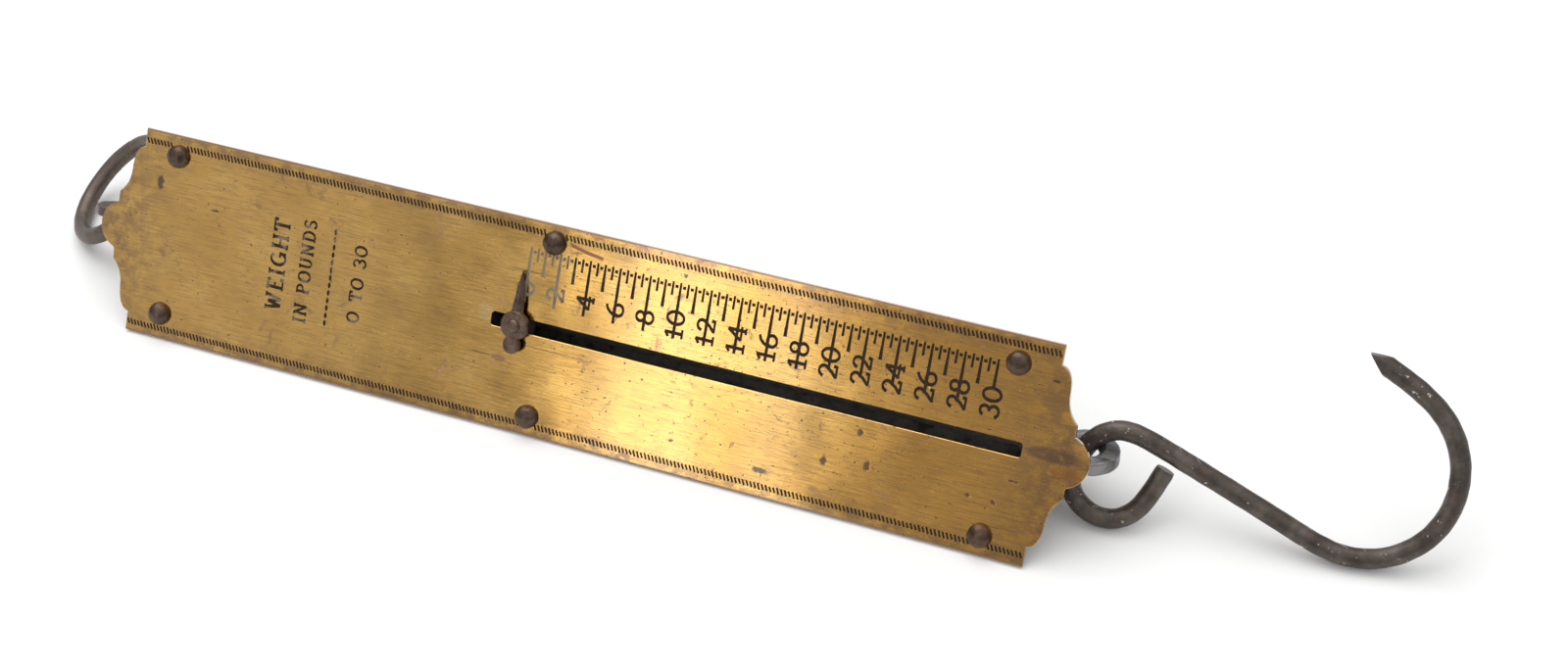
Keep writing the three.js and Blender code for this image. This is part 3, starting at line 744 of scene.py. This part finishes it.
def stroke(path, widths, grow):
    """Counter-clockwise outline of a stroke, grown all round."""
    left, right = [], []
    last = len(path) - 1
    for i, (here, width) in enumerate(zip(path, widths)):
        a, b = Vector(path[max(i - 1, 0)]), Vector(path[min(i + 1, last)])
        along = (b - a).normalized()
        centre = Vector(here) + along * grow * ((i == last) - (i == 0))
        side = Vector((-along.y, along.x)) * (width / 2 + grow)
        left.append(centre + side)
        right.append(centre - side)
    return [tuple(p) for p in right + left[::-1]]


# Face plate: mesh
def triangulated(loops):
    """Points, triangles and, for each triangle, the set of loops that hold it."""
    points = [Vector(p) for loop in loops for p in loop]
    faces, start = [], 0
    for loop in loops:
        faces.append(list(range(start, start + len(loop))))
        start += len(loop)
    coords, _, triangles, _, _, owners = delaunay_2d_cdt(points, [], faces, 1, 1e-5, True)
    return coords, triangles, [set(owner) for owner in owners]


def stamped_face(bm, outline, holes, marks):
    """The front of the plate, with every mark sunk into it on sloping sides."""
    rims = [stroke(path, widths, cut["slope"]) for path, widths, cut in marks]
    floors = [stroke(path, widths, 0) for path, widths, _ in marks]
    first_rim = 1 + len(holes)
    first_floor = first_rim + len(rims)
    coords, triangles, owners = triangulated([outline, *holes, *rims, *floors])
    depths = [0.0] * len(coords)
    kept = []
    level = set()
    for triangle, owner in zip(triangles, owners):
        if 0 not in owner or any(1 <= k < first_rim for k in owner):
            continue
        top = max(owner)
        kept.append((triangle, 0 if top < first_rim else 1))
        if top < first_rim:
            level.update(triangle)
        elif top >= first_floor:
            for corner in triangle:
                depths[corner] = max(depths[corner], marks[top - first_floor][2]["depth"])
    verts = {}
    for corner in {c for triangle, _ in kept for c in triangle}:
        between = 0 if corner in level else STAMP["depth"] / 2
        verts[corner] = bm.verts.new((*coords[corner], -(depths[corner] or between)))
    for triangle, material in kept:
        bm.faces.new([verts[c] for c in triangle]).material_index = material


def plain_face(bm, outline, holes, z):
    coords, triangles, owners = triangulated([outline, *holes])
    kept = [t for t, owner in zip(triangles, owners) if owner == {0}]
    verts = {corner: bm.verts.new((*coords[corner], z)) for corner in {c for t in kept for c in t}}
    for triangle in kept:
        bm.faces.new([verts[c] for c in triangle])


def face_plate():
    thick, round_edge = PLATE["thick"], PLATE["round"]
    outline, slot = plate_outline(), slot_outline()
    bores = [circle(x, y, RIVET["shank"]) for x, y in RIVETS]
    marks = hatching(random.Random(SEED)) + graduations() + numerals() + legend()
    bm = bmesh.new()
    stamped_face(bm, inset(outline, round_edge), [inset(slot, -round_edge / 2), *bores], marks)
    plain_face(bm, inset(outline, round_edge / 2), [slot, *bores], -thick)
    # Rounded front edge, straight side and slightly eased back edge, as (inset, z)
    section = [(1, 0), (0.6, -0.08), (0.25, -0.25), (0, -0.6), (0, -4.8), (0.5, -5.2)]
    outer = [[bm.verts.new((*p, round_edge * z)) for p in inset(outline, round_edge * d)]
             for d, z in section]
    outer[-1] = [bm.verts.new((*p, -thick)) for p in inset(outline, round_edge / 2)]
    inner = [[bm.verts.new((*p, z)) for p in inset(slot, d)]
             for d, z in ((-round_edge / 2, 0), (0, -round_edge / 2), (0, -thick))]
    through = [[[bm.verts.new((*p, z)) for p in bore] for z in (0, -thick)] for bore in bores]
    for rows in (outer, inner, *through):
        bridge(bm, rows)
    bmesh.ops.remove_doubles(bm, verts=bm.verts, dist=1e-3)
    settle(finished("face_plate_stamped", bm, [BRASS, FILLER], 20), "housing", "brass_plate", "face_plate")


# Rivets
def plate_rivets():
    """A hammered dome on the plate and a small button under the casing's flange."""
    flange_low = CASING["flange_z"] - CASING["sheet"] / 2
    for i, (x, y) in enumerate(RIVETS, 1):
        bm = bmesh.new()
        steps = ((0, 1), (0.6, 0.9), (0.92, 0.5), (1, 0))
        button = [(RIVET["tail"] * out, flange_low - RIVET["button"] * down) for out, down in steps]
        shank = [(RIVET["shank"], flange_low), (RIVET["shank"], 0)]
        head = [(RIVET["head"] * 0.97, 0), *dome(RIVET["head"], 0.3, RIVET["rise"] - 0.3, 12)]
        lathe(bm, [*button, *shank, *head], Matrix.Translation((x, y, 0)), 40)
        for vertex in bm.verts:
            if vertex.co.z > 0.2:
                vertex.co.xy += 0.12 * noise.noise_vector(vertex.co / 2.6).xy
                vertex.co.z -= 0.14 * abs(noise.noise(vertex.co / 1.7))
        settle(finished(f"domed_rivet_{i}", bm, [RIVET_IRON]), "housing", "rivet_iron", f"plate_rivet_{i}")


def side_rivets():
    wall = CASING["radius"]
    for end, x in zip(("upper", "lower"), SIDE_RIVET["x"]):
        for name, turn in (("left", math.pi / 2), ("right", -math.pi / 2)):
            bm = bmesh.new()
            inside = SIDE_RIVET["inside"]
            profile = [(0, inside - 0.8), (1.6, inside - 0.7), (1.8, inside - 0.3), (1.8, inside)]
            profile += [(SIDE_RIVET["shank"], inside), (SIDE_RIVET["shank"], wall - 0.1)]
            profile += dome(SIDE_RIVET["head"], wall - 0.1, SIDE_RIVET["rise"])
            lathe(bm, profile, Matrix.Translation((x, MID_Y, AXIS_Z)) @ Matrix.Rotation(turn, 4, "X"), 28)
            obj = finished(f"side_rivet_{end}_{name}", bm, [RIVET_IRON])
            settle(obj, "housing", "rivet_iron", f"{end}_end_rivet_{name}")


# Casing: one bent sheet with rounded bends
def casing_path(offset):
    """Half a section of the sheet as (across, z), from the flange's edge to the bottom."""
    radius = CASING["radius"] - CASING["sheet"] / 2 + offset
    wall, bend, top = MID_Y - radius, CASING["bend"] - offset, CASING["flange_z"] - offset
    path = [(CASING["flange"], top)]
    for i in range(7):
        angle = math.radians(90 - 15 * i)
        path.append((wall - bend + bend * math.cos(angle), top - bend + bend * math.sin(angle)))
    for i in range(17):
        angle = math.radians(180 + 90 * i / 16)
        path.append((MID_Y + radius * math.cos(angle), AXIS_Z + radius * math.sin(angle)))
    return path


def casing():
    half = CASING["sheet"] / 2
    outer, inner = casing_path(half), casing_path(-half)
    mirrored = [[(2 * MID_Y - y, z) for y, z in reversed(path[:-1])] for path in (outer, inner)]
    section = outer + mirrored[0] + mirrored[1][::-1] + inner[::-1]
    bm = bmesh.new()
    rows = []
    steps = 64
    for i in range(steps + 1):
        x = CASING["from"] + (CASING["to"] - CASING["from"]) * i / steps
        row = []
        for y, z in section:
            wave = 0.16 * noise.noise(Vector((x / 34, y / 15, z / 15))) * min(1, max(0, (-3 - z) / 6))
            out = Vector((0, 0))
            if z < -3:
                out = Vector((y - MID_Y, z - AXIS_Z)).normalized() * (wave - 0.1)
            row.append(bm.verts.new((x, y + out.x, z + out.y)))
        rows.append(row)
    bridge(bm, rows)
    # Faces inside the trough take the light grey bare sheet, painted light for what comes in through the
    # slot; the rest is japanned
    for face in bm.faces:
        middle = face.calc_center_median()
        inside = math.hypot(middle.y - MID_Y, middle.z - AXIS_Z) < CASING["radius"] - CASING["sheet"] / 2
        face.material_index = 1 if inside and middle.z < CASING["flange_z"] - CASING["sheet"] else 0
    count = len(section)
    for row in (rows[0], rows[-1]):
        for i in range(count // 2 - 1):
            bm.faces.new((row[i], row[i + 1], row[count - 2 - i], row[count - 1 - i]))
    bmesh.ops.remove_doubles(bm, verts=bm.verts, dist=1e-4)
    settle(finished("casing_shell", bm, [JAPAN, BARE_SHEET_PAINTED_LIGHT]), "housing", "sheet_iron", "back_casing")


# Pointer and its stud
def pointer():
    """A forged disc and tail lobe with a ridged arm, held off the plate by a boss."""
    low, top, radius = DISC["low"], DISC["top"], DISC["radius"]
    bm = bmesh.new()
    lathe(bm, [(0, 0.3), (DISC["boss"], 0.3), (DISC["boss"], low + 0.4), (0, low + 0.4)], Matrix())
    for x, y, r, high in ((0, 0, radius, top), (TAIL["x"], TAIL["y"], TAIL["radius"], top - 0.2)):
        profile = [(0, low), (r - 0.25, low), (r, low + 0.3), (r, high - 0.6), (r - 0.35, high - 0.15)]
        lathe(bm, [*profile, (r * 0.5, high), (0, high)], Matrix.Translation((x, y, 0)), 40)
    rows = []
    for y, half, under, crest in ARM:
        side = under + 0.45 * (crest - under)
        section = ((-half, under), (-half, side), (half * 0.2, crest), (half, side - 0.1), (half, under))
        rows.append([bm.verts.new((x, y, z)) for x, z in section])
    bridge(bm, rows)
    bm.faces.new(rows[0])
    bm.faces.new(rows[-1])
    bm = blended("pointer_union", bm, 0.11, 3)
    roughen(bm, 0.07, 1.3)
    bmesh.ops.translate(bm, verts=bm.verts, vec=(POINTER_X, SLOT["y"], 0))
    settle(finished("pointer_forged", bm, [POINTER_IRON], 60), "draw", "pointer_iron", "pointer")


def pointer_stud():
    """Peened over the disc, with its shank through the slot into the rod."""
    below = AXIS_Z - ROD["radius"]
    top, r, seat = STUD["top"], STUD["dome"], DISC["top"] - 0.1
    profile = [(0, below - 1), (1.9, below - 0.9), (2.3, below - 0.4), (2.4, below)]
    profile += [(STUD["radius"], below), (STUD["radius"], seat), (r + 0.15, seat + 0.1)]
    profile += [(r, top - 0.6), (r * 0.8, top - 0.25), (r * 0.45, top), (0.3, top - 0.1), (0, top - 0.22)]
    bm = bmesh.new()
    lathe(bm, profile, Matrix.Translation((POINTER_X, SLOT["y"], 0)), 36)
    for vertex in bm.verts:
        if vertex.co.z > DISC["top"]:
            vertex.co += 0.14 * noise.noise_vector(vertex.co / 1.1)
    settle(finished("pointer_stud_peened", bm, [POINTER_IRON], 50), "draw", "rivet_iron", "pointer_stud")


# Rod and anchor with their forged eyes
def eye(bm, shape):
    """A flat ring about the draw axis, its hole widening to both faces, its outer edge just rounded."""
    turn = Matrix.Rotation(math.radians(shape["turn"]), 4, "X")
    place = Matrix.Translation((shape["x"], MID_Y, AXIS_Z)) @ turn
    half = shape["thick"] / 2
    throat, mouth = shape["hole"]
    rows = []
    for a in full_turn(96):
        ray = Vector((math.cos(a), math.sin(a)))
        outer = Vector(shape["shift"]) + Vector((shape["outer"][0] * ray.x, shape["outer"][1] * ray.y))
        section = [(outer, -half * 0.75), (outer * 0.96, -half)]
        section += [(ray * (mouth + 0.3), -half), (ray * mouth, -half * 0.85)]
        section += [(ray * (throat + (mouth - throat) * 0.3), -half * 0.45), (ray * throat, 0)]
        section += [(point, -z) for point, z in section[-2::-1]]
        rows.append([bm.verts.new(place @ Vector((point.x, point.y, z))) for point, z in section])
    bridge(bm, rows + rows[:1])


def draw_rod():
    x, radius = DRAW_EYE["x"], ROD["radius"]
    bm = bmesh.new()
    eye(bm, DRAW_EYE)
    neck = [(0, -16), (radius, -16), (radius, -10.5), (2.7, -8.2), (1.9, -5.4), (0, -5.4)]
    lathe(bm, neck, on_axis(x), 32)
    bm = blended("draw_eye_union", bm, 0.22, 3)
    roughen(bm, 0.16, 2.4)
    start, end = ROD["from"], x - 15
    rod = [(0, start), (radius - 0.3, start), (radius, start + 0.3), (radius, end), (0, end)]
    lathe(bm, rod, on_axis(0), 40)
    settle(finished("draw_rod_forged", bm, [FORGED], 60), "draw", "forged_iron", "draw_rod")


def anchor():
    x, collar, radius, to = ANCHOR_EYE["x"], ANCHOR["collar"], ROD["radius"], ANCHOR["to"]
    bm = bmesh.new()
    eye(bm, ANCHOR_EYE)
    neck = [(0, x + 5.4), (2.2, x + 5.4), (2.7, x + 7.4), (3.7, x + 9), (4.2, x + 10.2)]
    neck += [(4.2, collar), (0, collar)]
    lathe(bm, neck, on_axis(0), 32)
    bm = blended("anchor_union", bm, 0.22, 3)
    roughen(bm, 0.14, 2.2)
    lathe(bm, [(0, 0), (radius, 0), (radius, to - 0.4), (radius - 0.4, to), (0, to)], on_axis(0), 36)
    settle(finished("anchor_forged", bm, [FORGED], 60), "housing", "forged_iron", "anchor_eye")


# Spring, ring and hook
def spring():
    """Round wire coiled at an even pitch about the draw axis."""
    turns = (SPRING["to"] - SPRING["from"]) / SPRING["pitch"]
    steps = round(turns * 28)
    line = []
    for i in range(steps + 1):
        angle = 2 * math.pi * turns * i / steps
        line.append(Vector((
            SPRING["from"] + (SPRING["to"] - SPRING["from"]) * i / steps,
            MID_Y + SPRING["radius"] * math.cos(angle),
            AXIS_Z + SPRING["radius"] * math.sin(angle))))
    bm = bmesh.new()
    sweep(bm, line, [SPRING["wire"] / 2] * len(line), 12)
    obj = finished("coil_spring", bm, [SPRING_STEEL])
    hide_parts("spring")
    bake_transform(obj)


def suspension_ring():
    """A wire ring closed with a butt joint."""
    turn = Vector((0, 0, 1)).rotation_difference(Vector(RING["normal"]))
    steps = 144
    line, radii = [], []
    for i, angle in enumerate(full_turn(steps)):
        spot = Vector((RING["radius"] * math.cos(angle), RING["radius"] * math.sin(angle), 0))
        line.append(turn @ spot + Vector(RING["at"]))
        joint = 0.35 if i == steps // 3 else 0
        radii.append(RING["wire"] / 2 - joint)
    bm = bmesh.new()
    sweep(bm, line, radii, 28, closed=True)
    roughen(bm, 0.10, 3.2)
    settle(finished("wire_ring", bm, [WIRE], 60), "ring", "wire_iron", "suspension_ring")


def hook_plane():
    normal, along = Vector(HOOK["normal"]).normalized(), Vector(HOOK["along"]).normalized()
    up = normal.cross(along).normalized()
    along = up.cross(normal)
    turn = Matrix((along, up, normal)).transposed().to_4x4()
    return Matrix.Translation(HOOK["at"]) @ turn


def s_hook():
    """Round wire bent in one plane, cut square at one end and filed to a point at the other."""
    line = smooth_line([Vector((u, v, 0)) for u, v in HOOK_LINE])
    radius = HOOK["wire"] / 2 - HOOK["skin"]
    radii = [radius - 0.2] + [radius] * (len(line) - 1)
    bm = bmesh.new()
    sweep(bm, line, radii, 32)
    roughen(bm, 0.11, 2.6)
    tip = Vector((*HOOK_TIP, 0))
    for sign, flat in zip((1, -1), HOOK_FLATS):
        along = Vector((*flat, 0)) - tip
        across = Vector((-along.y, along.x, 0)) * sign
        faces = [f for f in bm.faces if all((v.co - tip).length < 5 * radius for v in f.verts)]
        around = [part for f in faces for part in (*f.edges, *f.verts)]
        geometry = list(dict.fromkeys([*faces, *around]))
        cut = bmesh.ops.bisect_plane(bm, geom=geometry, plane_co=tip, plane_no=across, clear_outer=True)
        edges = [e for e in cut["geom_cut"] if isinstance(e, bmesh.types.BMEdge)]
        bmesh.ops.edgeloop_fill(bm, edges=edges)
    bm.transform(hook_plane())
    settle(finished("s_hook_wire", bm, [WIRE], 40), "hook", "wire_iron", "s_hook")


# CAD nodes that keep their own shape
def soften_edges(node, width_mm):
    bevel = node.modifiers.new("edges", "BEVEL")
    bevel.width = width_mm / 1000
    bevel.segments = 2
    bevel.limit_method = "ANGLE"
    bevel.angle_limit = math.radians(40)
    bevel.harden_normals = True


def carried_over():
    kept = {
        "upper_end_plate": (JAPAN, 0.3), "lower_end_plate": (JAPAN, 0.3),
        "anchor_washer": (BRIGHT_STEEL, 0.15), "anchor_nut": (BRIGHT_STEEL, 0.25),
        "upper_spring_plug": (FORGED, 0.3), "lower_spring_plug": (FORGED, 0.3),
        "upper_plug_pin": (BRIGHT_STEEL, 0.15), "lower_plug_pin": (BRIGHT_STEEL, 0.15),
        "guide_bush": (BUSH_BRASS, 0.2), "slider_washer": (BRIGHT_STEEL, 0.2),
    }
    for name, (material, width) in kept.items():
        node = nodes[name]
        node.data.materials.clear()
        node.data.materials.append(material)
        soften_edges(node, width)


# Studio
def area_light(name, place, target, size, power, roll=0):
    light = bpy.data.lights.new(name, "AREA")
    light.shape = "RECTANGLE"
    light.size, light.size_y = size
    light.energy = power
    obj = bpy.data.objects.new(name, light)
    obj.location = place
    facing = (Vector(target) - Vector(place)).to_track_quat("-Z", "Y").to_matrix()
    obj.rotation_euler = (facing @ Matrix.Rotation(math.radians(roll), 3, "Z")).to_euler()
    bpy.context.scene.collection.objects.link(obj)


def studio():
    bm = bmesh.new()
    bmesh.ops.create_grid(bm, x_segments=1, y_segments=1, size=3)
    mesh = bpy.data.meshes.new("studio_floor")
    bm.to_mesh(mesh)
    bm.free()
    mesh.materials.append(studio_floor())
    floor = bpy.data.objects.new("studio_floor", mesh)
    bpy.context.scene.collection.objects.link(floor)

    # A dim room with a bright ceiling
    world = bpy.data.worlds.new("studio_world")
    world.use_nodes = True
    tree = world.node_tree
    direction = tree.nodes.new("ShaderNodeTexCoord").outputs["Generated"]
    height = tree.nodes.new("ShaderNodeSeparateXYZ")
    ramp = tree.nodes.new("ShaderNodeValToRGB")
    for element, (at, level) in zip(ramp.color_ramp.elements, ((0.38, 0.42), (0.75, 1.15))):
        element.position = at
        element.color = (level, level, level, 1)
    tree.links.new(direction, height.inputs[0])
    tree.links.new(height.outputs["Z"], ramp.inputs[0])
    tree.links.new(ramp.outputs[0], tree.nodes["Background"].inputs["Color"])
    bpy.context.scene.world = world

    area_light("overhead_panel", (-0.5, 0.5, 1.7), (0, 0, 0), (1.6, 1.6), 14)
    area_light("broad_strip", (-0.425, -1.13, 0.40), (0, 0, 0.02), (0.085, 0.8), 0.62, 8)
    area_light("narrow_strip", (-0.335, -1.16, 0.41), (0, 0, 0.02), (0.04, 0.8), 0.27, 8)
    area_light("side_panel", (-1.35, -1.35, 0.60), (-0.05, 0, 0.02), (1.1, 1.0), 0.9)

    view = bpy.context.scene.view_settings
    view.view_transform = "Standard"


def camera():
    data = bpy.data.cameras.new("camera")
    data.sensor_width = CAMERA["sensor"]
    data.lens = CAMERA["lens"]
    obj = bpy.data.objects.new("camera", data)
    obj.location = CAMERA["at"]
    obj.rotation_euler = [math.radians(a) for a in CAMERA["turn"]]
    bpy.context.scene.collection.objects.link(obj)
    bpy.context.scene.camera = obj


camera()
face_plate()
plate_rivets()
side_rivets()
casing()
pointer()
pointer_stud()
draw_rod()
anchor()
spring()
suspension_ring()
s_hook()
carried_over()
studio()
